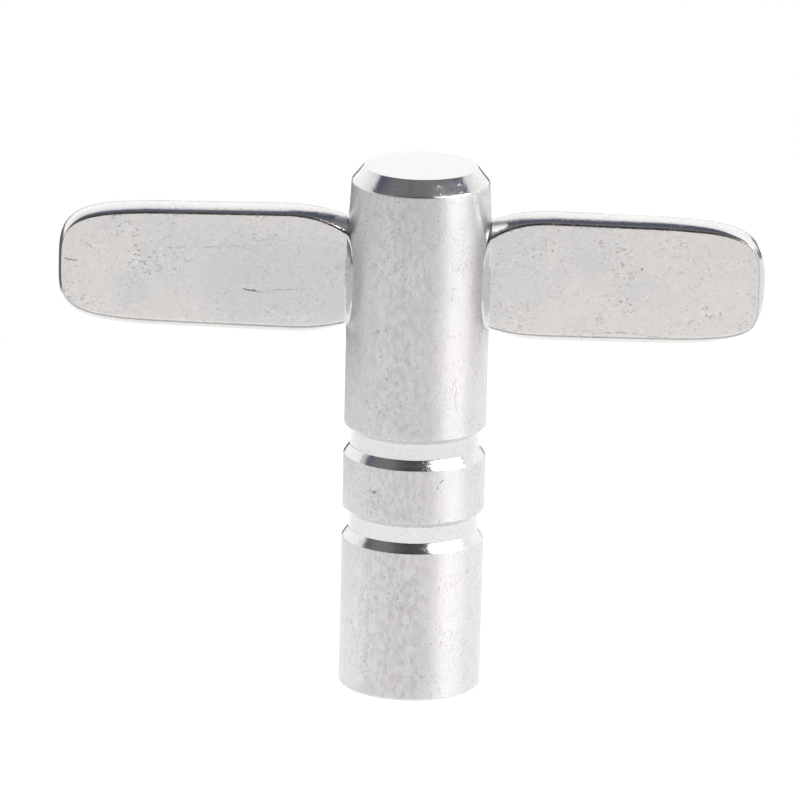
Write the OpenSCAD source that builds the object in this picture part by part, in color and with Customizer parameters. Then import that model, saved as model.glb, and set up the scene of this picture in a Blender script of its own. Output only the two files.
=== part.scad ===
// Radiator bleed key: a turned round body with a square socket, and a T-handle bar that is pushed
// through the body and pressed flat at both ends, so that it can't come out.
// Origin: centre of the socket's mouth. +Z up the body's axis, X along the handle bar.

/* [Body] */
// Diameter of the round body
body_d = 10; // [9:0.5:14]
// Height of the body, from the socket's mouth to the flat top
body_h = 37.65; // [34:0.05:50]
// How far the bevel round the top comes in
top_bevel_r = 0.9; // [0.3:0.05:1.5]
// How far the bevel round the top comes down
top_bevel_h = 1.1; // [0.3:0.05:2]
// Bevel round the foot
foot_bevel = 0.15; // [0.05:0.05:0.4]

/* [Grooves] */
// Height of the plain shank below the lower groove
shank_h = 10.8; // [9:0.1:12]
// Height of the ring between the two grooves
ring_h = 3.85; // [2:0.05:5]
// Width of each groove at the body's surface
groove_w = 2.2; // [1.4:0.1:3]
// Depth of each groove
groove_depth = 0.44; // [0.2:0.02:0.8]
// Height of the sloping shoulder at the bottom of each groove
groove_slope_below = 0.66; // [0.1:0.02:0.68]
// Height of the sloping shoulder at the top of each groove
groove_slope_above = 0.38; // [0.1:0.02:0.68]

/* [Socket] */
// Width of the square socket across its flats
socket_af = 5.1; // [4.9:0.1:5.6]
// Depth of the square socket
socket_depth = 9; // [6:0.5:10]
// Diameter of the drilled hole that the square was punched into
pilot_d = 4.8; // [4.2:0.1:4.8]
// How far the drilled hole's straight wall runs on past the square
pilot_extra = 1; // [0.4:0.1:2]
// Diameter of the countersink at the socket's mouth
countersink_d = 6.3; // [5.8:0.1:7]

/* [Cross hole] */
// Height of the cross hole's axis
hole_z = 29.7; // [27:0.1:32]
// Clearance all round the bar in the cross hole
hole_clearance = 0.05; // [0.02:0.01:0.1]
// How much the pressed bar has spread each mouth, up and down
mouth_spread = 0.45; // [0.1:0.05:0.6]
// How deep each spread mouth goes
mouth_depth = 1.2; // [0.9:0.1:2]

/* [Handle bar] */
// Diameter of the bar where it is still round
bar_d = 5.4; // [5:0.1:6]
// Length of the bar from tip to tip
bar_l = 49.5; // [40:0.5:60]
// How far the bar sits off centre in the body
bar_shift = -0.5; // [-1:0.1:1]
// Height of the wings' middle
wing_z = 30; // [27.5:0.1:32]
// Thickness of the pressed wings
wing_t = 2.9; // [2.2:0.05:3.2]
// Height of a wing's flat face where it is widest
face_h = 8.2; // [7.4:0.1:9]
// How far the rounded edges stand out past the flat face
edge_bulge = 0.44; // [0.1:0.02:0.6]
// Length of the rounded shoulder from the root to the widest place
shoulder_l = 4.2; // [3:0.1:6]
// How much the face narrows towards the tip, per side and millimetre
taper = 0.014; // [0:0.002:0.03]

/* [Hidden] */

metal = [0.80, 0.80, 0.79];
bright_metal = [0.84, 0.84, 0.82];
fine = 96;
eps = 0.01;

body_r = body_d / 2;
floor_r = body_r - groove_depth;
ring_z = shank_h + groove_w;
upper_groove_z = ring_z + ring_h;
drill_point_angle = 118;
pilot_point_h = pilot_d / 2 / tan(drill_point_angle / 2);

bar_r = bar_d / 2;
hole_r = bar_r + hole_clearance;
// The press leaves the bar round up to here, and flat from the root on
round_x = sqrt(body_r * body_r - bar_r * bar_r) - 0.1;
root_x = body_r + 0.02;
root_gap = 0.1;
root_half_h = bar_r + mouth_spread - root_gap;

// The flat face is cut in at the root, lower corner less than upper, and the edge less than the face
face_root_above = 2.95;
face_root_below = 3.55;
edge_root = 3.9;
shoulder_power = 2.3;
tip_power = 7;
corner_power = 3;
shoulder_steps = 6;
tip_steps = 14;
layer_count = 6;

// Half height of a wing at distance x from its root, up to the start of the rounded tip
function shoulder(x, root, full) =
    root + (full - root) * (1 - pow(1 - x / shoulder_l, shoulder_power));

// One side of a wing's outline: the rounded shoulder, then a taper that ends in a blunt rounded tip
function outline_side(root, full, length) = concat(
    [for (i = [0:shoulder_steps - 1])
        let (x = shoulder_l * i / shoulder_steps) [x, shoulder(x, root, full)]],
    [for (i = [0:tip_steps])
        let (
            a = 90 * i / tip_steps,
            x = (length - shoulder_l) * pow(sin(a), 2 / tip_power),
            fall = pow(max(cos(a), 0), 2 / corner_power)
        ) [shoulder_l + x, (full - taper * x) * fall]]
);

// Wing outline, k = 0 at the flat face and k = 1 at the middle of the rounded edge
function outline(length, k) =
    let (
        full = face_h / 2 + edge_bulge * k,
        reach = length - edge_bulge * (1 - k),
        above = outline_side(face_root_above + (edge_root - face_root_above) * k, full, reach),
        below = outline_side(face_root_below + (edge_root - face_root_below) * k, full, reach),
        last = len(below) - 2
    )
    concat(above, [for (i = [last:-1:0]) [below[i].x, -below[i].y]]);

module body_profile() {
    polygon([
        [0, 0],
        [body_r - foot_bevel, 0],
        [body_r, foot_bevel],
        [body_r, shank_h],
        [floor_r, shank_h + groove_slope_below],
        [floor_r, ring_z - groove_slope_above],
        [body_r, ring_z],
        [body_r, upper_groove_z],
        [floor_r, upper_groove_z + groove_slope_below],
        [floor_r, upper_groove_z + groove_w - groove_slope_above],
        [body_r, upper_groove_z + groove_w],
        [body_r, body_h - top_bevel_h],
        [body_r - top_bevel_r, body_h],
        [0, body_h]
    ]);
}

// Square socket punched into a drilled hole, with a countersunk mouth
module socket() {
    sink_depth = (countersink_d - pilot_d) / 2;
    translate([-socket_af / 2, -socket_af / 2, -1])
        cube([socket_af, socket_af, socket_depth + 1]);
    cylinder(h = socket_depth + pilot_extra, d = pilot_d, $fn = fine);
    translate([0, 0, socket_depth + pilot_extra])
        cylinder(h = pilot_point_h, d1 = pilot_d, d2 = 0, $fn = fine);
    translate([0, 0, -eps])
        cylinder(h = sink_depth, d1 = countersink_d + 2 * eps, d2 = pilot_d + 2 * eps, $fn = fine);
}

// Upright oval across the X axis, from x0 to x1
module oval_bar(x0, x1, r, spread) {
    translate([x0, 0, hole_z])
        rotate([90, 0, 90])
            linear_extrude(x1 - x0)
                union() {
                    translate([0, spread]) circle(r, $fn = fine);
                    translate([0, -spread]) circle(r, $fn = fine);
                    translate([-r, -spread]) square([2 * r, 2 * spread]);
                }
}

module cross_hole() {
    translate([0, 0, hole_z])
        rotate([0, 90, 0])
            cylinder(h = body_d + 2, r = hole_r, center = true, $fn = fine);
    for (side = [0, 1])
        mirror([side, 0, 0])
            oval_bar(body_r - mouth_depth, body_r + 1, hole_r, mouth_spread);
}

module key_body() {
    color(bright_metal)
        difference() {
            rotate_extrude($fn = fine) body_profile();
            socket();
            cross_hole();
        }
}

// Where the bar goes from round to flat, inside the mouth of the hole
module root() {
    hull() {
        translate([round_x - eps, 0, hole_z])
            rotate([0, 90, 0])
                cylinder(h = eps, r = bar_r, $fn = 64);
        for (z = [-1, 1])
            translate([root_x - eps, 0, hole_z + z * (root_half_h - wing_t / 2)])
                rotate([0, 90, 0])
                    cylinder(h = 2 * eps, d = wing_t, $fn = 32);
    }
}

// One pressed wing: flat faces, and edges and tip that bulge out between them
module wing(tip_x) {
    hull()
        for (i = [-layer_count:layer_count])
            let (f = i / layer_count)
                translate([root_x, f * (wing_t - eps) / 2, wing_z])
                    rotate([90, 0, 0])
                        linear_extrude(eps, center = true)
                            polygon(outline(tip_x - root_x, 1 - f * f));
}

module handle_bar() {
    color(metal)
        union() {
            translate([0, 0, hole_z])
                rotate([0, 90, 0])
                    cylinder(h = 2 * round_x, r = bar_r, center = true, $fn = fine);
            for (side = [-1, 1])
                mirror([side < 0 ? 1 : 0, 0, 0]) {
                    root();
                    wing(bar_l / 2 + side * bar_shift);
                }
        }
}

key_body();
handle_bar();
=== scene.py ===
"""The looks of the radiator bleed key: a turned body with a square socket, and a pressed handle bar.

Both pieces stand for their CAD nodes at the same size, with rounded edges, a swaged cross hole and a
detailed plated metal. Lengths here are in millimetres and become metres where a mesh is made.
"""

import math
from collections import namedtuple

import bmesh
import bpy
from mathutils import Matrix, Vector, noise


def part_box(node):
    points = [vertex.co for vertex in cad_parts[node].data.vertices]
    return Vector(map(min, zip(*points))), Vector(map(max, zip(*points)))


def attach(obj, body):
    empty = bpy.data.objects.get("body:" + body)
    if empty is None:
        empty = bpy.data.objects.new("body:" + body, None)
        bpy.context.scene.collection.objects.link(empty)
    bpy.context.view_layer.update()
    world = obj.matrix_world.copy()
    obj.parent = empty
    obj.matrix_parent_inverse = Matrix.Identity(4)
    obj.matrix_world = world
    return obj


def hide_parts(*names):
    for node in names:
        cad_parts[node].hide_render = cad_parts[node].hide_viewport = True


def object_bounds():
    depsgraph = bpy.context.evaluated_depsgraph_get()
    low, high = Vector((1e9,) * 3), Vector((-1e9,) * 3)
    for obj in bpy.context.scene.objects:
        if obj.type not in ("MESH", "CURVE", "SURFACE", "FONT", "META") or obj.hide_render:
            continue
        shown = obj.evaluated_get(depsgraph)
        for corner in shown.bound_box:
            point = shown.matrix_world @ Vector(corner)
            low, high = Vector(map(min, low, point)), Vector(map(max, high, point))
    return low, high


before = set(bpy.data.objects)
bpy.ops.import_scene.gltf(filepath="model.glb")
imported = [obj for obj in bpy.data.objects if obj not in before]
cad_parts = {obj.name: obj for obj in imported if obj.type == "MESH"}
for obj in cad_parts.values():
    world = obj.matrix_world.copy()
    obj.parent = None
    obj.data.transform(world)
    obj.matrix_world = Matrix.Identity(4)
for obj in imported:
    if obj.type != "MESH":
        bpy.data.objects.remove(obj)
CAD_LOW, CAD_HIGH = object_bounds()

MM = 0.001
BODY_LOW, BODY_HIGH = (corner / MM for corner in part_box("key_body"))
BAR_LOW, BAR_HIGH = (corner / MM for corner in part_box("handle_bar"))

# Body, as in part.scad
BODY_R = (BODY_HIGH.x - BODY_LOW.x) / 2
BODY_H = BODY_HIGH.z
TOP_BEVEL_R, TOP_BEVEL_H = 0.9, 1.1
FOOT_BEVEL = 0.15
SHANK_H, RING_H = 10.8, 3.85
GROOVE_W, GROOVE_DEPTH = 2.2, 0.44
GROOVE_SLOPE_BELOW, GROOVE_SLOPE_ABOVE = 0.66, 0.38
SOCKET_AF, SOCKET_DEPTH = 5.1, 9.0
PILOT_D, PILOT_EXTRA, DRILL_POINT_ANGLE = 4.8, 1.0, 118.0
COUNTERSINK_D = 6.3
HOLE_Z = 29.7

# Handle bar, as in part.scad
BAR_R = BAR_HIGH.y
WING_Z = (BAR_LOW.z + BAR_HIGH.z) / 2
WING_T = 2.9
SHOULDER_L = 4.2
EDGE_ROOT = 3.9
SHOULDER_POWER = 2.3

# One long side of a wing, as the press left it. Heights are from the wings' middle:
#   root and half: the flat face's height at its root and past the shoulder
#   taper: how much that height falls for each mm towards the tip
#   bulge: how far the rounded edge stands out past the face
#   root_power and power: how squarely it is rounded, at the root and past the shoulder
#   corner and face_corner: how square the tip's corner is, on the rounded edge and on the face
Edge = namedtuple("Edge", "root half taper bulge root_power power corner face_corner")

# A wing: tip_bulge is how far the rounded tip stands out past the face, tip how straight it is
Wing = namedtuple("Wing", "sign length above below tip_bulge tip")
LEFT_WING = Wing(
    sign=-1,
    length=-BAR_LOW.x,
    above=Edge(2.95, 4.13, 0.014, 0.33, 2.0, 3.0, 3.6, 3.9),
    below=Edge(3.50, 3.98, 0.014, 0.66, 2.0, 2.0, 3.6, 3.9),
    tip_bulge=0.28,
    tip=7.5,
)
RIGHT_WING = Wing(
    sign=1,
    length=BAR_HIGH.x,
    above=Edge(2.95, 4.12, 0.010, 0.40, 2.0, 3.4, 2.6, 4.6),
    below=Edge(3.50, 3.98, 0.010, 0.66, 2.0, 2.0, 2.8, 6.0),
    tip_bulge=0.45,
    tip=7.0,
)

# The wings' flat faces start at ROOT_X, and all that lies past OUTSIDE_X is out of the body
ROOT_X = BODY_R + 0.09
OUTSIDE_X = BODY_R + 0.1

# Inside the body the bar turns from round to an upright oval, which is the mouth of the hole
ROUND_X, OVAL_X, BEND_STEPS = 2.6, 3.6, 6
BEND_PLACES = [ROUND_X + (OVAL_X - ROUND_X) * k / BEND_STEPS for k in range(BEND_STEPS + 1)]
INSIDE_PLACES = [0, 1.3] + BEND_PLACES + [4.0]
MOUTH_HALF_W = 2.2
MOUTH_POWER_ABOVE, MOUTH_POWER_BELOW = 2.0, 3.2
MOUTH_UNDER_SKIN, MOUTH_BEFORE_ROOT = 0.01, 0.03

# Camera: angles in degrees, and the point that it looks at
AZIMUTH, ELEVATION, ROLL = 2.4, 16.0, 1.36
DISTANCE, LENS, SENSOR_W = 710.0, 455.0, 36.0
AIM_SIDE, AIM_Z = -1.1, 20.6

# Mesh making: how far a cutter reaches past what it cuts, and what counts as no length at all
PAST = 1.0
NOTHING = 1e-4


# ---------------------------------------------------------------- mesh helpers


def new_object(name, bm):
    """An object from a bmesh in millimetres, which becomes metres."""
    bmesh.ops.recalc_face_normals(bm, faces=bm.faces)
    bmesh.ops.scale(bm, vec=(MM, MM, MM), verts=bm.verts)
    mesh = bpy.data.meshes.new(name)
    bm.to_mesh(mesh)
    bm.free()
    obj = bpy.data.objects.new(name, mesh)
    bpy.context.scene.collection.objects.link(obj)
    return obj


def apply_modifiers(obj):
    """Replaces the object's mesh by its mesh with the modifiers applied."""
    graph = bpy.context.evaluated_depsgraph_get()
    final = bpy.data.meshes.new_from_object(obj.evaluated_get(graph))
    obj.modifiers.clear()
    obj.data = final


def cut(target, cutter):
    """Cuts cutter out of target, and removes cutter."""
    boolean = target.modifiers.new("cut", "BOOLEAN")
    boolean.operation = "DIFFERENCE"
    boolean.solver = "EXACT"
    boolean.object = cutter
    apply_modifiers(target)
    bpy.data.objects.remove(cutter)


def shade(obj, sharp_degrees):
    """Smooth shading, with edges sharper than that angle kept."""
    for polygon in obj.data.polygons:
        polygon.use_smooth = True
    obj.data.set_sharp_from_angle(angle=math.radians(sharp_degrees))


def filleted(points, steps=5):
    """The (r, z, radius) corners as a list of (r, z), each corner rounded by its radius."""
    out = []
    for i, (r, z, radius) in enumerate(points):
        here = Vector((r, z))
        if radius == 0 or i in (0, len(points) - 1):
            out.append(here)
            continue
        back = (Vector(points[i - 1][:2]) - here).normalized()
        ahead = (Vector(points[i + 1][:2]) - here).normalized()
        half = back.angle(ahead) / 2
        reach = radius / math.tan(half)
        centre = here + (back + ahead).normalized() * radius / math.sin(half)
        start, end = here + back * reach - centre, here + ahead * reach - centre
        turn = start.angle(end)
        for k in range(steps + 1):
            a, b = math.sin(turn * (1 - k / steps)), math.sin(turn * k / steps)
            out.append(centre + (start * a + end * b) / math.sin(turn))
    return out


def divided(points, step):
    """The same line with no stretch longer than step."""
    out = [points[0]]
    for a, b in zip(points, points[1:]):
        count = max(1, math.ceil((b - a).length / step))
        out += [a.lerp(b, k / count) for k in range(1, count + 1)]
    return out


def lathe(name, line, segments, warp=None):
    """A solid of revolution about Z of a line of (r, z) that starts and ends on the axis."""
    bm = bmesh.new()
    rings = []
    for r, z in line:
        if r < NOTHING:
            rings.append([bm.verts.new((0, 0, z))])
            continue
        ring = []
        for k in range(segments):
            a = 2 * math.pi * k / segments
            p = Vector((r * math.cos(a), r * math.sin(a), z))
            ring.append(bm.verts.new(warp(p) if warp else p))
        rings.append(ring)
    for low, high in zip(rings, rings[1:]):
        for k in range(segments):
            n = (k + 1) % segments
            if len(low) == 1:
                bm.faces.new((low[0], high[n], high[k]))
            elif len(high) == 1:
                bm.faces.new((low[k], low[n], high[0]))
            else:
                bm.faces.new((low[k], low[n], high[n], high[k]))
    return new_object(name, bm)


def join_rows(bm, rows):
    """Faces between each closed row of vertices and the next."""
    count = len(rows[0])
    for low, high in zip(rows, rows[1:]):
        for k in range(count):
            n = (k + 1) % count
            bm.faces.new((low[k], low[n], high[n], high[k]))


def tube(name, rows):
    """A closed solid through rows of points, with a flat face at each end."""
    bm = bmesh.new()
    rows = [[bm.verts.new(point) for point in row] for row in rows]
    join_rows(bm, rows)
    bm.faces.new(rows[0])
    bm.faces.new(rows[-1])
    return new_object(name, bm)


def arc(cx, cy, r, start, end, steps):
    """Points of an arc, in degrees, with both ends."""
    angles = [math.radians(start + (end - start) * k / steps) for k in range(steps + 1)]
    return [(cx + r * math.cos(a), cy + r * math.sin(a)) for a in angles]


# ---------------------------------------------------------------- key body

# What the pressing did to the body: the swage round each mouth, and the drawn-in top
SWAGE_RIGHT, SWAGE_LEFT = 0.15, 0.08
SWAGE_Z, SWAGE_HEIGHT, SWAGE_ANGLE = HOLE_Z + 0.6, 4.6, 32.0
TOP_TAPER, TOP_TAPER_START, TOP_TAPER_END = 0.032, 32.5, 37.0
UNEVEN, UNEVEN_ROUND, UNEVEN_UP = 0.012, 0.6, 0.25

# Details that part.scad leaves out or keeps plainer: the socket's rounded corners, the room round
# the bar in its hole, and the tiny bevel on edges sharper than an angle
SOCKET_CORNER_R = 0.15
HOLE_CLEARANCE = 0.04
BROKEN_EDGE, BREAK_ANGLE = 0.06, 42

PROFILE_STEP = 0.45
BODY_SEGMENTS, DRILL_SEGMENTS = 288, 96
BODY_SHARP_ANGLE = 38


def smooth(value, low, high):
    """0 below low, 1 above high, and an even curve between them."""
    t = min(max((value - low) / (high - low), 0), 1)
    return t * t * (3 - 2 * t)


def top_scale(z):
    """What the body's width is multiplied by at height z, since its top is drawn in."""
    return 1 - TOP_TAPER * smooth(z, TOP_TAPER_START, TOP_TAPER_END)


def body_warp(p):
    """The body as the press left it: narrower at the top, and pushed out round the cross hole."""
    r = math.hypot(p.x, p.y)
    scale = top_scale(p.z)
    if r > BODY_R - TOP_BEVEL_R:
        side = math.degrees(math.atan2(abs(p.y), abs(p.x)))
        height = (p.z - SWAGE_Z) / SWAGE_HEIGHT
        swage = SWAGE_RIGHT if p.x > 0 else SWAGE_LEFT
        swage *= math.exp(-2 * (height**2 + (side / SWAGE_ANGLE) ** 2))
        place = Vector((p.x * UNEVEN_ROUND, p.y * UNEVEN_ROUND, p.z * UNEVEN_UP))
        scale += (swage + UNEVEN * noise.noise(place)) / r
    return Vector((p.x * scale, p.y * scale, p.z))


def body_profile():
    """The turned outline as a line of (r, z), made from (r, z, corner radius)."""
    floor_r = BODY_R - GROOVE_DEPTH
    corners = [(0, 0, 0), (BODY_R - FOOT_BEVEL, 0, 0.05), (BODY_R, FOOT_BEVEL, 0.12)]
    for z in (SHANK_H, SHANK_H + GROOVE_W + RING_H):
        corners += [
            (BODY_R, z, 0.1),
            (floor_r, z + GROOVE_SLOPE_BELOW, 0.12),
            (floor_r, z + GROOVE_W - GROOVE_SLOPE_ABOVE, 0.08),
            (BODY_R, z + GROOVE_W, 0.08),
        ]
    corners += [
        (BODY_R, BODY_H - TOP_BEVEL_H, 0.3),
        (BODY_R - TOP_BEVEL_R, BODY_H, 0.1),
        (0, BODY_H, 0),
    ]
    return divided(filleted(corners), PROFILE_STEP)


def socket_square():
    """Points (x, y) of the socket's square, with small corner radii."""
    half, r = SOCKET_AF / 2, SOCKET_CORNER_R
    inner = half - r
    points = []
    for k, (sx, sy) in enumerate([(1, 1), (-1, 1), (-1, -1), (1, -1)]):
        points += arc(sx * inner, sy * inner, r, 90 * k, 90 * k + 90, 4)
    return points


def cut_socket(body):
    """Cuts the punched square and the drilled and countersunk pilot hole under it."""
    square = [[(x, y, z) for x, y in socket_square()] for z in (-PAST, SOCKET_DEPTH)]
    cut(body, tube("square_cutter", square))
    pilot_r = PILOT_D / 2
    pilot_end = SOCKET_DEPTH + PILOT_EXTRA
    point_h = pilot_r / math.tan(math.radians(DRILL_POINT_ANGLE / 2))
    drill = [
        (0, -PAST),
        (COUNTERSINK_D / 2 + PAST, -PAST),
        (pilot_r, COUNTERSINK_D / 2 - pilot_r),
        (pilot_r, pilot_end),
        (0, pilot_end + point_h),
    ]
    cut(body, lathe("drill_cutter", drill, DRILL_SEGMENTS))


def break_edges(obj):
    """Puts a tiny bevel on the sharp edges."""
    bevel = obj.modifiers.new("edge", "BEVEL")
    bevel.width = BROKEN_EDGE * MM
    bevel.segments = 2
    bevel.limit_method = "ANGLE"
    bevel.angle_limit = math.radians(BREAK_ANGLE)
    bevel.use_clamp_overlap = True
    apply_modifiers(obj)


def make_body():
    """The key's body, with its cross hole and socket."""
    body = lathe("bleed_key_body", body_profile(), BODY_SEGMENTS, body_warp)
    cut(body, hole_cutter())
    cut_socket(body)
    break_edges(body)
    shade(body, BODY_SHARP_ANGLE)
    return body


# ---------------------------------------------------------------- handle bar

# Places across a face, closer together near its edges
FACE_HALF = (0, 0.02, 0.05, 0.09, 0.15, 0.23, 0.33, 0.44)
FACE_PLACES = FACE_HALF + tuple(1 - place for place in reversed(FACE_HALF))
EDGE_LAYERS = 14
RAMP_STEPS, SHOULDER_STEPS, TIP_STEPS = 4, 16, 36
ROUND_FACE_ANGLE = 52.0
BAR_SHARP_ANGLE = 50

# The bar's materials, by their places in its list
FACE, EDGE, CREASE = 0, 1, 2

# The narrow crease between a face and an edge: its width, and the most of a face that it takes
CREASE_W, CREASE_SHARE = 0.075, 0.06
EDGE_REACH = 1 - CREASE_W / (WING_T / 2)

# A face that has closed up at the tip counts as this high, so that nothing is divided by 0
LEAST_HEIGHT = 0.001

# How far the faces are from flat and the edges from straight, and how quickly that changes
WAVE, WAVE_ALONG, WAVE_THROUGH = 0.02, 0.22, 0.1
WOBBLE, WOBBLE_ALONG = 0.025, 0.5


def oval_half_height(y):
    """How high the oval mouth reaches above and below the wings' middle, y from its axis."""
    halves = []
    for power in (MOUTH_POWER_ABOVE, MOUTH_POWER_BELOW):
        inside = max(1 - (abs(y) / MOUTH_HALF_W) ** power, 0)
        halves.append(EDGE_ROOT * inside ** (1 / power))
    return halves


def oval_depth(z):
    """How far the oval mouth reaches to the front at height z from the wings' middle."""
    power = MOUTH_POWER_ABOVE if z > 0 else MOUTH_POWER_BELOW
    return MOUTH_HALF_W * max(1 - (abs(z) / EDGE_ROOT) ** power, 0) ** (1 / power)


def ring_of(face, edge):
    """One ring of points: front face up, upper edge back, back face down, lower edge forward.

    face(t, back) is a point of a face, t from 0 at its lower edge to 1, and edge(f, part) one of an
    edge, f from -1 at the front to 1 and part 1 above or -1 below. Faces and edges stop a little
    short of each other, which leaves a narrow crease between them.
    """
    height = (face(1, -1) - face(0, -1)).length
    short = min(CREASE_W / max(height, LEAST_HEIGHT), CREASE_SHARE)
    places = [short + (1 - 2 * short) * t for t in FACE_PLACES]
    layers = [EDGE_REACH * (2 * j / EDGE_LAYERS - 1) for j in range(EDGE_LAYERS + 1)]
    ring = [face(t, -1) for t in places]
    ring += [edge(f, 1) for f in layers]
    ring += [face(t, 1) for t in reversed(places)]
    ring += [edge(f, -1) for f in reversed(layers)]
    return ring


def round_section():
    """The bar where it is still round, as a ring at x = 0."""

    def face(t, back):
        a = math.radians(ROUND_FACE_ANGLE * (2 * t - 1))
        return Vector((0, back * BAR_R * math.cos(a), HOLE_Z + BAR_R * math.sin(a)))

    def edge(f, part):
        a = math.radians((90 - ROUND_FACE_ANGLE) * f)
        return Vector((0, BAR_R * math.sin(a), HOLE_Z + part * BAR_R * math.cos(a)))

    return ring_of(face, edge)


def oval_section():
    """The bar in the oval mouths of the hole, as a ring at x = 0."""
    above, below = oval_half_height(WING_T / 2)

    def face(t, back):
        z = -below + (above + below) * t
        return Vector((0, back * oval_depth(z), WING_Z + z))

    def edge(f, part):
        y = f * WING_T / 2
        up, down = oval_half_height(y)
        return Vector((0, y, WING_Z + (up if part > 0 else -down)))

    return ring_of(face, edge)


def bar_section(x):
    """The bar's section inside the body, x from the middle."""
    t = smooth(x, ROUND_X, OVAL_X)
    return [p.lerp(q, t) + Vector((x, 0, 0)) for p, q in zip(round_section(), oval_section())]


def mouth_ring(sign):
    """Where the bar comes out of the body's surface."""
    ring = []
    for p in oval_section():
        out = body_warp(Vector((sign * math.sqrt(BODY_R**2 - p.y**2), p.y, p.z)))
        x = min(abs(out.x) - MOUTH_UNDER_SKIN, ROOT_X - MOUTH_BEFORE_ROOT)
        ring.append(Vector((x, p.y, p.z)))
    return ring


def edge_point(u, f, edge, wing, part):
    """A point of a wing's rounded edge, at place u of its outline: 0 to 1 shoulder, 1 to 2 tip.

    f is the place through the wing's thickness, -1 at the front face and 1 at the back.
    """
    power = edge.root_power + (edge.power - edge.root_power) * min(u, 1)
    k = 1 - abs(f) ** power
    root = edge.root + (EDGE_ROOT - edge.root) * k
    full = edge.half + edge.bulge * k
    length = wing.length - ROOT_X - wing.tip_bulge * f * f
    if u < 1:
        x = SHOULDER_L * u
        half = root + (full - root) * (1 - (1 - u) ** SHOULDER_POWER)
    else:
        a = math.radians(90 * (u - 1))
        x = (length - SHOULDER_L) * math.sin(a) ** (2 / wing.tip)
        corner = edge.face_corner + (edge.corner - edge.face_corner) * k
        half = (full - edge.taper * x) * max(math.cos(a), 0) ** (2 / corner)
        x += SHOULDER_L
    return Vector((ROOT_X + x, f * WING_T / 2, WING_Z + part * half))


def wing_ring(u, wing):
    """One closed ring round a wing."""

    def edge(f, part):
        return edge_point(u, f, wing.above if part > 0 else wing.below, wing, part)

    def face(t, back):
        return edge(back, -1).lerp(edge(back, 1), t)

    return ring_of(face, edge)


def hole_cutter():
    """The bar's own shape through the body, with a little room all round."""
    places = [0] + BEND_PLACES + [BODY_R + PAST]
    rows = []
    for x in [-place for place in reversed(places)] + places[1:]:
        middle = Vector((x, 0, HOLE_Z))
        row = [Vector((x, p.y, p.z)) for p in bar_section(abs(x))]
        rows.append([p + (p - middle).normalized() * HOLE_CLEARANCE for p in row])
    return tube("hole_cutter", rows)


def bar_half(wing):
    """Rings of one half of the bar, in order along +X. Only the right half has the middle one."""
    inside = [bar_section(x) for x in INSIDE_PLACES]
    mouth, root = mouth_ring(wing.sign), wing_ring(0, wing)
    ramp = []
    for k in range(RAMP_STEPS + 1):
        ramp.append([p.lerp(q, k / RAMP_STEPS) for p, q in zip(mouth, root)])
    shoulder = [wing_ring(k / SHOULDER_STEPS, wing) for k in range(1, SHOULDER_STEPS)]
    tip = [wing_ring(1 + k / TIP_STEPS, wing) for k in range(TIP_STEPS + 1)]
    rings = inside + ramp + shoulder + tip
    if wing.sign < 0:
        rings = [[Vector((-p.x, p.y, p.z)) for p in ring] for ring in rings[1:]]
        rings.reverse()
    return rings


def press_marks(p):
    """The point p of the bar, moved by the slight unevenness that the press left."""
    if abs(p.x) < OUTSIDE_X:
        return p
    q = Vector((p.x * WAVE_ALONG, p.y * WAVE_THROUGH, p.z * WAVE_ALONG))
    wave = noise.noise(q + Vector((3.1, 0.7, 5.2)))
    wobble = noise.noise(Vector((p.x * WOBBLE_ALONG, 4.0, 1.0 if p.z > WING_Z else 7.0)))
    away = (p.z - WING_Z) / EDGE_ROOT
    return Vector((p.x, p.y + WAVE * wave, p.z + WOBBLE * wobble * away))


def make_bar():
    """The handle bar, with material index CREASE on the creases of its wings."""
    rings = bar_half(LEFT_WING) + bar_half(RIGHT_WING)
    bm = bmesh.new()
    join_rows(bm, [[bm.verts.new(press_marks(p)) for p in ring] for ring in rings])

    # Each ring's four creases come after its front face, upper edge, back face and lower edge
    last, turn = len(FACE_PLACES) - 1, len(FACE_PLACES) + EDGE_LAYERS
    creases = (last, turn, turn + 1 + last, 2 * turn + 1)
    for i, face in enumerate(bm.faces):
        outside = abs(face.calc_center_median().x) > OUTSIDE_X
        if outside and i % len(rings[0]) in creases:
            face.material_index = CREASE
    bmesh.ops.remove_doubles(bm, verts=bm.verts, dist=NOTHING)
    bmesh.ops.dissolve_degenerate(bm, edges=bm.edges, dist=NOTHING)
    bar = new_object("bleed_key_handle_bar", bm)
    shade(bar, BAR_SHARP_ANGLE)
    return bar


# ---------------------------------------------------------------- materials


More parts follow.
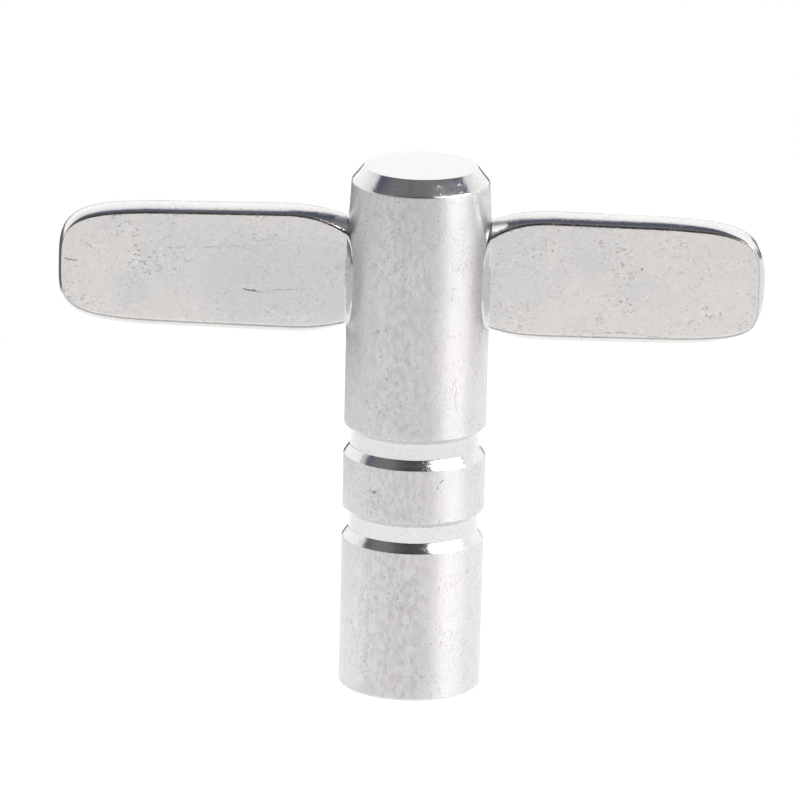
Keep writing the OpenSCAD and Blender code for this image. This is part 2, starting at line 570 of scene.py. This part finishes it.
class Tree:
    """Short calls for building a node tree."""

    def __init__(self, tree):
        self.tree = tree
        tree.nodes.clear()

    def node(self, kind, inputs=None, **settings):
        """A new node, its inputs each a number, a colour or another node's output."""
        made = self.tree.nodes.new(kind)
        for key, value in settings.items():
            setattr(made, key, value)
        for key, value in (inputs or {}).items():
            self.put(made.inputs[key], value)
        return made

    def put(self, socket, value):
        if isinstance(value, bpy.types.NodeSocket):
            self.tree.links.new(value, socket)
        else:
            socket.default_value = value

    def math(self, operation, a, b=0.0, c=0.0):
        made = self.node("ShaderNodeMath", {0: a, 1: b, 2: c}, operation=operation)
        return made.outputs[0]

    def vector(self, operation, a, b, c=(0, 0, 0)):
        made = self.node("ShaderNodeVectorMath", {0: a, 1: b, 2: c}, operation=operation)
        return made.outputs[0]

    def noise(self, vector, scale, detail=3.0, rough=0.55):
        inputs = {"Vector": vector, "Scale": scale, "Detail": detail, "Roughness": rough}
        return self.node("ShaderNodeTexNoise", inputs).outputs["Fac"]

    def ramp(self, value, low, high, out_low=0.0, out_high=1.0):
        """out_low up to low, out_high from high on, and an even curve between them."""
        inputs = {0: value, 1: low, 2: high, 3: out_low, 4: out_high}
        made = self.node("ShaderNodeMapRange", inputs, interpolation_type="SMOOTHSTEP")
        return made.outputs[0]

    def mix(self, factor, a, b):
        """Colour a where factor is 0, and b where it is 1."""
        made = self.node("ShaderNodeMix", data_type="RGBA")
        self.put(made.inputs[0], factor)
        self.put(made.inputs[6], a)
        self.put(made.inputs[7], b)
        return made.outputs[2]

    def dots(self, vector, scale, size, share):
        """Scattered ragged dots: 1 inside a dot, 0 elsewhere, in about share of the cells."""
        ragged = self.noise(vector, scale * 2.5, 2.0)
        cells = self.node("ShaderNodeTexVoronoi", {"Vector": vector, "Scale": scale})
        edge = self.math("MULTIPLY_ADD", ragged, -size * 1.6, cells.outputs["Distance"])
        inside = self.ramp(edge, size * 0.2, -size * 0.25)
        pick = self.node("ShaderNodeSeparateColor", {0: cells.outputs["Color"]}).outputs[0]
        return self.math("MULTIPLY", inside, self.math("LESS_THAN", pick, share))

    def line(self, vector, start, end, width):
        """1 on the straight line between two points (x, z) of the front, fading to 0 at width."""
        x, y, z = self.node("ShaderNodeSeparateXYZ", {0: vector}).outputs
        flat = self.node("ShaderNodeCombineXYZ", {0: x, 1: z}).outputs[0]
        a, b = Vector((*start, 0)), Vector((*end, 0))
        reach = b - a
        from_a = self.vector("SUBTRACT", flat, a)
        inputs = {0: from_a, 1: reach / reach.length_squared}
        along = self.node("ShaderNodeVectorMath", inputs, operation="DOT_PRODUCT").outputs["Value"]
        along = self.node("ShaderNodeClamp", {0: along}).outputs[0]
        inputs = {0: reach, "Scale": along}
        foot = self.node("ShaderNodeVectorMath", inputs, operation="SCALE").outputs[0]
        gap = self.vector("SUBTRACT", from_a, foot)
        length = self.node("ShaderNodeVectorMath", {0: gap}, operation="LENGTH").outputs["Value"]
        front = self.math("LESS_THAN", y, 0.0)
        return self.math("MULTIPLY", self.ramp(length, width, width * 0.3), front)

    def raised(self, mask, vector, lines):
        """mask, raised to amount along each line (start, end, width, amount)."""
        for start, end, width, amount in lines:
            line = self.math("MULTIPLY", self.line(vector, start, end, width), amount)
            mask = self.math("MAXIMUM", mask, line)
        return mask

    def flecks(self, vector, scale, cluster, strength):
        """Small flecks, as strong as cluster is at their place."""
        fleck = self.ramp(self.noise(vector, scale, 3.0, 0.7), 0.53, 0.68)
        return self.math("MULTIPLY", self.math("MULTIPLY", fleck, cluster), strength)


def rgba(r, g, b):
    """An opaque colour, in linear light."""
    return (r, g, b, 1.0)


# The metal's noise scales, for each mm
WANDER_SCALE, CLOUD_SCALE, CLUSTER_SCALE, BROKEN_SCALE = 1.3, 0.17, 0.5, 3.0
MOTTLE_SCALE, DARK_SCALE, BRIGHT_SCALE, SPOT_SCALE = 1.9, 5.2, 4.6, 1.1
PIT_SCALE, DENT_SCALE = 5.0, 1.1

# How far a scratch and a patch wander from their straight line, and how deep the pits are, in mm
SCRATCH_WANDER, PATCH_WANDER = 0.5, 3.0
PIT_DEPTH = 0.04

QUARTER_TURN = 0.25
MOTTLE_SHADE = 0.88
DARK_FLECK = rgba(0.20, 0.19, 0.18)
BRIGHT_FLECK = rgba(0.88, 0.87, 0.86)


def metal(
    name, tone, cool, cloudy, pitted, rough, spread=0.0, grain=(1, 1, 1), marks=(), dull=(), worn=()
):
    """Bright plated steel.

    tone is its colour, cool the colour of the patches that cloudy shares out, and pitted says how
    marked it is. rough is the lowest and highest roughness. spread stretches its reflections along
    Z, as turning marks do, and grain is the stretch of the mottle. The rest are places on the
    front: marks are scratches and spots, (start, end, width, depth), dull are cloudy patches and
    worn are flecked ones, (start, end, width, amount).
    """
    material = bpy.data.materials.new(name)
    material.use_nodes = True
    t = Tree(material.node_tree)
    place = t.node("ShaderNodeTexCoord").outputs["Object"]
    mm = t.vector("MULTIPLY", place, (1 / MM, 1 / MM, 1 / MM))
    grained = t.vector("MULTIPLY", mm, grain)
    wander = t.node("ShaderNodeTexNoise", {"Vector": mm, "Scale": WANDER_SCALE, "Detail": 3.0})
    wander = t.vector("SUBTRACT", wander.outputs["Color"], (0.5, 0.5, 0.5))
    scratchy = t.vector("MULTIPLY_ADD", wander, (SCRATCH_WANDER,) * 3, mm)
    patchy = t.vector("MULTIPLY_ADD", wander, (PATCH_WANDER,) * 3, mm)

    # Tone: cloudy patches, dull patches, and a fine mottle
    cloud = t.ramp(t.noise(mm, CLOUD_SCALE, 3.0, 0.6), 0.44, 0.62)
    cloud = t.raised(t.math("MULTIPLY", cloud, cloudy), patchy, dull)
    colour = t.mix(cloud, tone, cool)
    mottle = t.ramp(t.noise(grained, MOTTLE_SCALE, 5.0, 0.7), 0.34, 0.70)
    darker = rgba(*(MOTTLE_SHADE * c for c in tone[:3]))
    colour = t.mix(t.math("MULTIPLY", mottle, 0.6 * pitted + 0.1), colour, darker)

    # Dark and bright flecks in loose clusters, a few larger spots, and the marks that were placed.
    # What is added to a place only picks another stretch of the same noise.
    cluster = t.ramp(t.noise(mm, CLUSTER_SCALE), 0.40, 0.64, 0.3, 0.9)
    cluster = t.raised(cluster, patchy, worn)
    dark = t.flecks(grained, DARK_SCALE, cluster, 0.8 * pitted)
    elsewhere = t.vector("ADD", grained, (9, 4, 2))
    bright = t.flecks(elsewhere, BRIGHT_SCALE, cluster, 0.75 * pitted)
    colour = t.mix(bright, colour, BRIGHT_FLECK)
    spots = t.dots(t.vector("ADD", mm, (7, 3, 5)), SPOT_SCALE, 0.09, 0.10)
    marked = t.math("MAXIMUM", dark, t.math("MULTIPLY", spots, 0.6 * pitted))
    broken = t.ramp(t.noise(mm, BROKEN_SCALE, 2.0), 0.38, 0.52)
    placed = t.math("MULTIPLY", t.raised(0.0, scratchy, marks), broken)
    marked = t.math("MAXIMUM", marked, placed)
    colour = t.mix(marked, colour, DARK_FLECK)

    # Roughness follows the mottle, and the marks are pits
    roughness = t.ramp(mottle, 0.0, 1.0, rough[0], rough[1])
    dents = t.noise(mm, DENT_SCALE, 2.0)
    height = t.math("MULTIPLY_ADD", t.noise(grained, PIT_SCALE), 0.8 * pitted, dents)
    height = t.math("MULTIPLY_ADD", marked, -1.2, height)
    inputs = {"Strength": 0.2 + 0.25 * pitted, "Distance": PIT_DEPTH * MM, "Height": height}
    bump = t.node("ShaderNodeBump", inputs)

    shader = t.node(
        "ShaderNodeBsdfPrincipled",
        {"Base Color": colour, "Metallic": 1.0, "Roughness": roughness, "Normal": bump.outputs[0]},
    )
    if spread:
        shader.inputs["Anisotropic"].default_value = spread
        shader.inputs["Anisotropic Rotation"].default_value = QUARTER_TURN
        tangent = t.node("ShaderNodeTangent", direction_type="RADIAL", axis="Z")
        t.put(shader.inputs["Tangent"], tangent.outputs[0])
    t.node("ShaderNodeOutputMaterial", {"Surface": shader.outputs[0]})
    return material


def turned_steel():
    """The body's outside, as it came off the lathe."""
    return metal(
        "plated_steel_turned",
        rgba(0.775, 0.757, 0.745),
        rgba(0.72, 0.71, 0.71),
        cloudy=0.6,
        pitted=0.7,
        rough=(0.35, 0.43),
        spread=0.92,
        grain=(1.5, 1.5, 0.8),
        marks=[
            ((-2.6, 15.0), (-2.55, 15.02), 0.20, 0.7),
            ((2.2, 16.1), (1.8, 15.6), 0.08, 0.6),
            ((-4.1, 5.2), (-3.5, 3.4), 0.05, 0.5),
            ((2.9, 23.5), (3.0, 20.8), 0.05, 0.35),
        ],
    )


def cut_steel():
    """The body's grooves, bevels, top and holes."""
    return metal(
        "plated_steel_cut",
        rgba(0.725, 0.72, 0.712),
        rgba(0.70, 0.70, 0.70),
        cloudy=0.4,
        pitted=0.3,
        rough=(0.10, 0.15),
    )


def pressed_steel():
    """The flat faces of the wings."""
    return metal(
        "plated_steel_pressed",
        rgba(0.705, 0.682, 0.66),
        rgba(0.60, 0.60, 0.62),
        cloudy=0.45,
        pitted=0.55,
        rough=(0.17, 0.24),
        grain=(0.8, 1.0, 1.0),
        marks=[
            ((-17.4, 31.5), (-12.5, 31.8), 0.06, 0.4),
            ((-11.4, 32.2), (-9.4, 32.3), 0.05, 0.3),
            ((-12.2, 28.7), (-11.3, 28.5), 0.09, 0.9),
            ((-11.3, 28.5), (-7.8, 28.9), 0.05, 0.5),
            ((-24.7, 30.4), (-23.9, 30.4), 0.08, 0.8),
            ((-23.6, 31.8), (-22.7, 31.2), 0.06, 0.6),
            ((15.6, 31.05), (15.65, 31.1), 0.14, 0.9),
            ((16.5, 28.2), (16.6, 28.2), 0.11, 0.9),
            ((9.35, 32.2), (9.4, 32.2), 0.08, 0.8),
            ((13.2, 26.4), (15.4, 26.4), 0.05, 0.6),
            ((15.4, 26.4), (17.7, 26.15), 0.05, 0.6),
            ((18.8, 32.5), (19.4, 31.4), 0.04, 0.35),
        ],
        dull=[
            ((-12.0, 29.5), (-6.0, 29.5), 5.0, 0.95),
            ((-17.0, 31.0), (-10.0, 31.0), 4.0, 0.5),
            ((-20.0, 28.0), (-20.0, 29.0), 1.8, 0.7),
            ((5.4, 27.0), (5.4, 32.5), 0.9, 0.6),
        ],
        worn=[
            ((-21.0, 33.4), (-19.2, 29.5), 0.9, 1.7),
            ((-18.2, 32.0), (-18.0, 29.8), 0.5, 1.7),
            ((-25.0, 28.5), (-22.5, 27.0), 1.2, 1.2),
            ((5.8, 28.0), (7.2, 26.6), 0.9, 1.3),
            ((14.5, 31.5), (14.5, 28.5), 1.4, 1.3),
            ((20.2, 28.2), (20.5, 27.8), 0.9, 1.6),
            ((12.6, 33.0), (14.2, 32.3), 0.6, 1.4),
        ],
    )


def edge_steel():
    """The wings' rounded edges, and the bar inside the body."""
    return metal(
        "plated_steel_edge",
        rgba(0.73, 0.72, 0.71),
        rgba(0.68, 0.69, 0.71),
        cloudy=0.6,
        pitted=0.5,
        rough=(0.12, 0.18),
    )


def crease_painted_shade_steel():
    """Painted shade: a dark tone along the crease where a wing's face meets its edge."""
    return metal(
        # Painted shade: this dark colour darkens the crease between face and edge
        "plated_steel_crease_painted_shade",
        rgba(0.42, 0.40, 0.385),
        rgba(0.30, 0.29, 0.285),
        cloudy=0.8,
        pitted=0.8,
        rough=(0.16, 0.28),
    )


# The turned outside of the body is what lies within SKIN of its radius and leans less than
# UPRIGHT, and a wing's face is what turns more than FACING to the front or the back
SKIN, UPRIGHT, FACING = 0.08, 0.35, 0.9


def dress(obj, materials, pick):
    """Gives obj its materials, and each polygon the one that pick(polygon) says."""
    for material in materials:
        obj.data.materials.append(material)
    for polygon in obj.data.polygons:
        polygon.material_index = pick(polygon)


def body_pick(polygon):
    """0 on the turned outside of the body, 1 in its grooves, bevels and holes."""
    centre = polygon.center / MM
    radius = math.hypot(centre.x, centre.y) / top_scale(centre.z)
    return 0 if radius > BODY_R - SKIN and abs(polygon.normal.z) < UPRIGHT else 1


def bar_pick(polygon):
    """FACE on the flat faces of the wings, EDGE on the rest, and the creases as they are."""
    if polygon.material_index == CREASE:
        return CREASE
    inside = abs(polygon.center.x) / MM < BODY_R
    return EDGE if inside or abs(polygon.normal.y) < FACING else FACE


# ---------------------------------------------------------------- studio

# Floor: a round sheet of paper just under the object, cut off straight at SHEET_EDGE in one
# direction. It glows by emission, a painted pool of light that falls from NEAR_LIGHT at NEAR to
# FAR_LIGHT at FAR.
SHEET_R, SHEET_SEGMENTS, SHEET_GAP = 600.0, 96, 0.02
SHEET_EDGE, SHEET_EDGE_AZIMUTH = 85.0, -135.0
NEAR, FAR = 30.0, 120.0
NEAR_LIGHT, FAR_LIGHT = 0.90, 0.72

# Light tent: azimuth is in degrees from the front, positive to the right, and elevation in degrees
# above the horizon. x (right) and y (back) are parts of a direction of length 1.
SEAM_AZIMUTH, SEAM_HALF_W, SEAM_SOFT = -26.0, 4.0, 8.0
CEILING_FRONT = rgba(0.055, 0.048, 0.045)
CEILING_MIDDLE = rgba(0.22, 0.22, 0.225)
CEILING_BACK = rgba(0.105, 0.115, 0.17)
SEAM = rgba(0.1, 0.1, 0.1)
SOFTBOX = rgba(9.5, 9.5, 9.5)
BELOW_FLOOR = rgba(0.15, 0.15, 0.16)


def floor_material():
    """White paper with a painted glow: its emission, a painted pool of light, is brighter near the
    object.
    """
    material = bpy.data.materials.new("floor_white_painted_glow")
    material.use_nodes = True
    t = Tree(material.node_tree)
    place = t.node("ShaderNodeTexCoord").outputs["Object"]
    x, y, _ = t.node("ShaderNodeSeparateXYZ", {0: place}).outputs
    ahead = t.math("MINIMUM", y, 0.0)
    squares = t.math("ADD", t.math("MULTIPLY", x, x), t.math("MULTIPLY", ahead, ahead))
    distance = t.math("SQRT", squares)
    shader = t.node(
        "ShaderNodeBsdfPrincipled",
        {
            "Base Color": rgba(0.3, 0.3, 0.3),
            "Roughness": 0.9,
            "Emission Color": rgba(1.0, 1.0, 1.0),
            # Painted light: emission that is stronger near the object, a pool of light on the paper
            "Emission Strength": t.ramp(distance, NEAR * MM, FAR * MM, NEAR_LIGHT, FAR_LIGHT),
        },
    )
    t.node("ShaderNodeOutputMaterial", {"Surface": shader.outputs[0]})
    return material


def make_floor():
    """A white sheet with a straight edge behind the object, on the left."""
    bm = bmesh.new()
    bmesh.ops.create_circle(bm, cap_ends=True, segments=SHEET_SEGMENTS, radius=SHEET_R)
    azimuth = math.radians(SHEET_EDGE_AZIMUTH)
    across = Vector((math.sin(azimuth), -math.cos(azimuth), 0))
    parts = bm.verts[:] + bm.edges[:] + bm.faces[:]
    bmesh.ops.bisect_plane(
        bm, geom=parts, plane_co=across * SHEET_EDGE, plane_no=across, clear_outer=True
    )
    floor = new_object("floor", bm)
    floor.location.z = CAD_LOW.z - SHEET_GAP * MM
    floor.data.materials.append(floor_material())


def ceiling_colour(t, y):
    """The dark ceiling, from over the camera to behind the object."""
    front = t.mix(t.ramp(y, -0.75, -0.45), CEILING_FRONT, CEILING_MIDDLE)
    return t.mix(t.ramp(y, -0.3, 0.1), front, CEILING_BACK)


def wall_mask(t, x, y, elevation):
    """1 on the walls: low in front, higher behind, and all the way up at the back."""
    top = t.math("SUBTRACT", t.ramp(y, -0.35, 0.45, 11.0, 48.0), t.ramp(x, 0.2, 0.5, 0.0, 6.0))
    wall = t.ramp(t.math("SUBTRACT", elevation, top), 5.0, -5.0)
    aside = t.math("ADD", t.ramp(x, -0.07, 0.0, 0.0, 0.2), t.ramp(x, 0.0, 0.35, 0.0, 0.2))
    back = t.ramp(t.math("SUBTRACT", y, aside), 0.30, 0.70)
    return t.math("MAXIMUM", wall, back)


def wall_colour(t, x, elevation):
    """The white walls, darker higher up and towards both sides."""
    high = t.ramp(t.math("ABSOLUTE", x), 0.25, 0.55, 1.15, 0.75)
    white = t.ramp(elevation, 14.0, 50.0, 1.22, high)
    return t.node("ShaderNodeCombineXYZ", {0: white, 1: white, 2: white}).outputs[0]


def softbox_mask(t, azimuth, elevation):
    """1 on a softbox with a level foot, a sloping top and a leaning left side."""
    sloping = t.math("MULTIPLY_ADD", azimuth, 0.28, elevation)
    leaning = t.math("MULTIPLY_ADD", elevation, 0.85, azimuth)
    height = t.math("MULTIPLY", t.ramp(elevation, 24.0, 28.0), t.ramp(sloping, 65.0, 63.5))
    width = t.math("MULTIPLY", t.ramp(leaning, 77.0, 86.0), t.ramp(azimuth, 101.0, 95.0))
    return t.math("MULTIPLY", height, width)


def make_world():
    """A light tent: white walls, a dark ceiling, a seam in front and a softbox high on the right."""
    world = bpy.data.worlds.new("studio")
    bpy.context.scene.world = world
    world.use_nodes = True
    t = Tree(world.node_tree)
    direction = t.node("ShaderNodeTexCoord").outputs["Generated"]
    x, y, z = t.node("ShaderNodeSeparateXYZ", {0: direction}).outputs
    degrees = 180 / math.pi
    elevation = t.math("MULTIPLY", t.math("ARCSINE", z), degrees)
    azimuth = t.math("MULTIPLY", t.math("ARCTAN2", x, t.math("MULTIPLY", y, -1.0)), degrees)

    wall = wall_mask(t, x, y, elevation)
    light = t.mix(wall, ceiling_colour(t, y), wall_colour(t, x, elevation))
    aside = t.math("ABSOLUTE", t.math("SUBTRACT", azimuth, SEAM_AZIMUTH))
    seam = t.ramp(aside, SEAM_HALF_W + SEAM_SOFT, SEAM_HALF_W, 0.0, 0.2)
    light = t.mix(seam, light, SEAM)
    light = t.mix(softbox_mask(t, azimuth, elevation), light, SOFTBOX)
    light = t.mix(t.ramp(elevation, -1.0, -2.0), light, BELOW_FLOOR)

    # The camera itself sees plain white round the object
    seen = t.node("ShaderNodeLightPath").outputs["Is Camera Ray"]
    light = t.mix(seen, light, rgba(1.0, 1.0, 1.0))
    background = t.node("ShaderNodeBackground", {"Color": light, "Strength": 1.0})
    t.node("ShaderNodeOutputWorld", {"Surface": background.outputs[0]})


def make_camera():
    """A long lens, a little above the object and almost square to its wings."""
    azimuth, elevation, roll = (math.radians(x) for x in (AZIMUTH, ELEVATION, ROLL))
    right = Vector((math.cos(azimuth), math.sin(azimuth), 0))
    back = Vector(
        (
            math.sin(azimuth) * math.cos(elevation),
            -math.cos(azimuth) * math.cos(elevation),
            math.sin(elevation),
        )
    )
    up = back.cross(right)
    aim = (right * AIM_SIDE + Vector((0, 0, AIM_Z))) * MM
    side = right * math.cos(roll) + up * math.sin(roll)
    top = up * math.cos(roll) - right * math.sin(roll)
    data = bpy.data.cameras.new("camera")
    data.sensor_width = SENSOR_W
    data.lens = LENS
    data.clip_start, data.clip_end = 0.01, 10
    camera = bpy.data.objects.new("camera", data)
    bpy.context.scene.collection.objects.link(camera)
    turn = Matrix((side, top, back)).transposed().to_4x4()
    camera.matrix_world = Matrix.Translation(aim + back * DISTANCE * MM) @ turn
    bpy.context.scene.camera = camera


make_camera()
make_floor()
make_world()

body = make_body()
dress(body, [turned_steel(), cut_steel()], body_pick)
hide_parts("key_body")
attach(body, "root")

bar = make_bar()
dress(bar, [pressed_steel(), edge_steel(), crease_painted_shade_steel()], bar_pick)
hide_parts("handle_bar")
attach(bar, "root")

bpy.context.scene.view_settings.view_transform = "Standard"
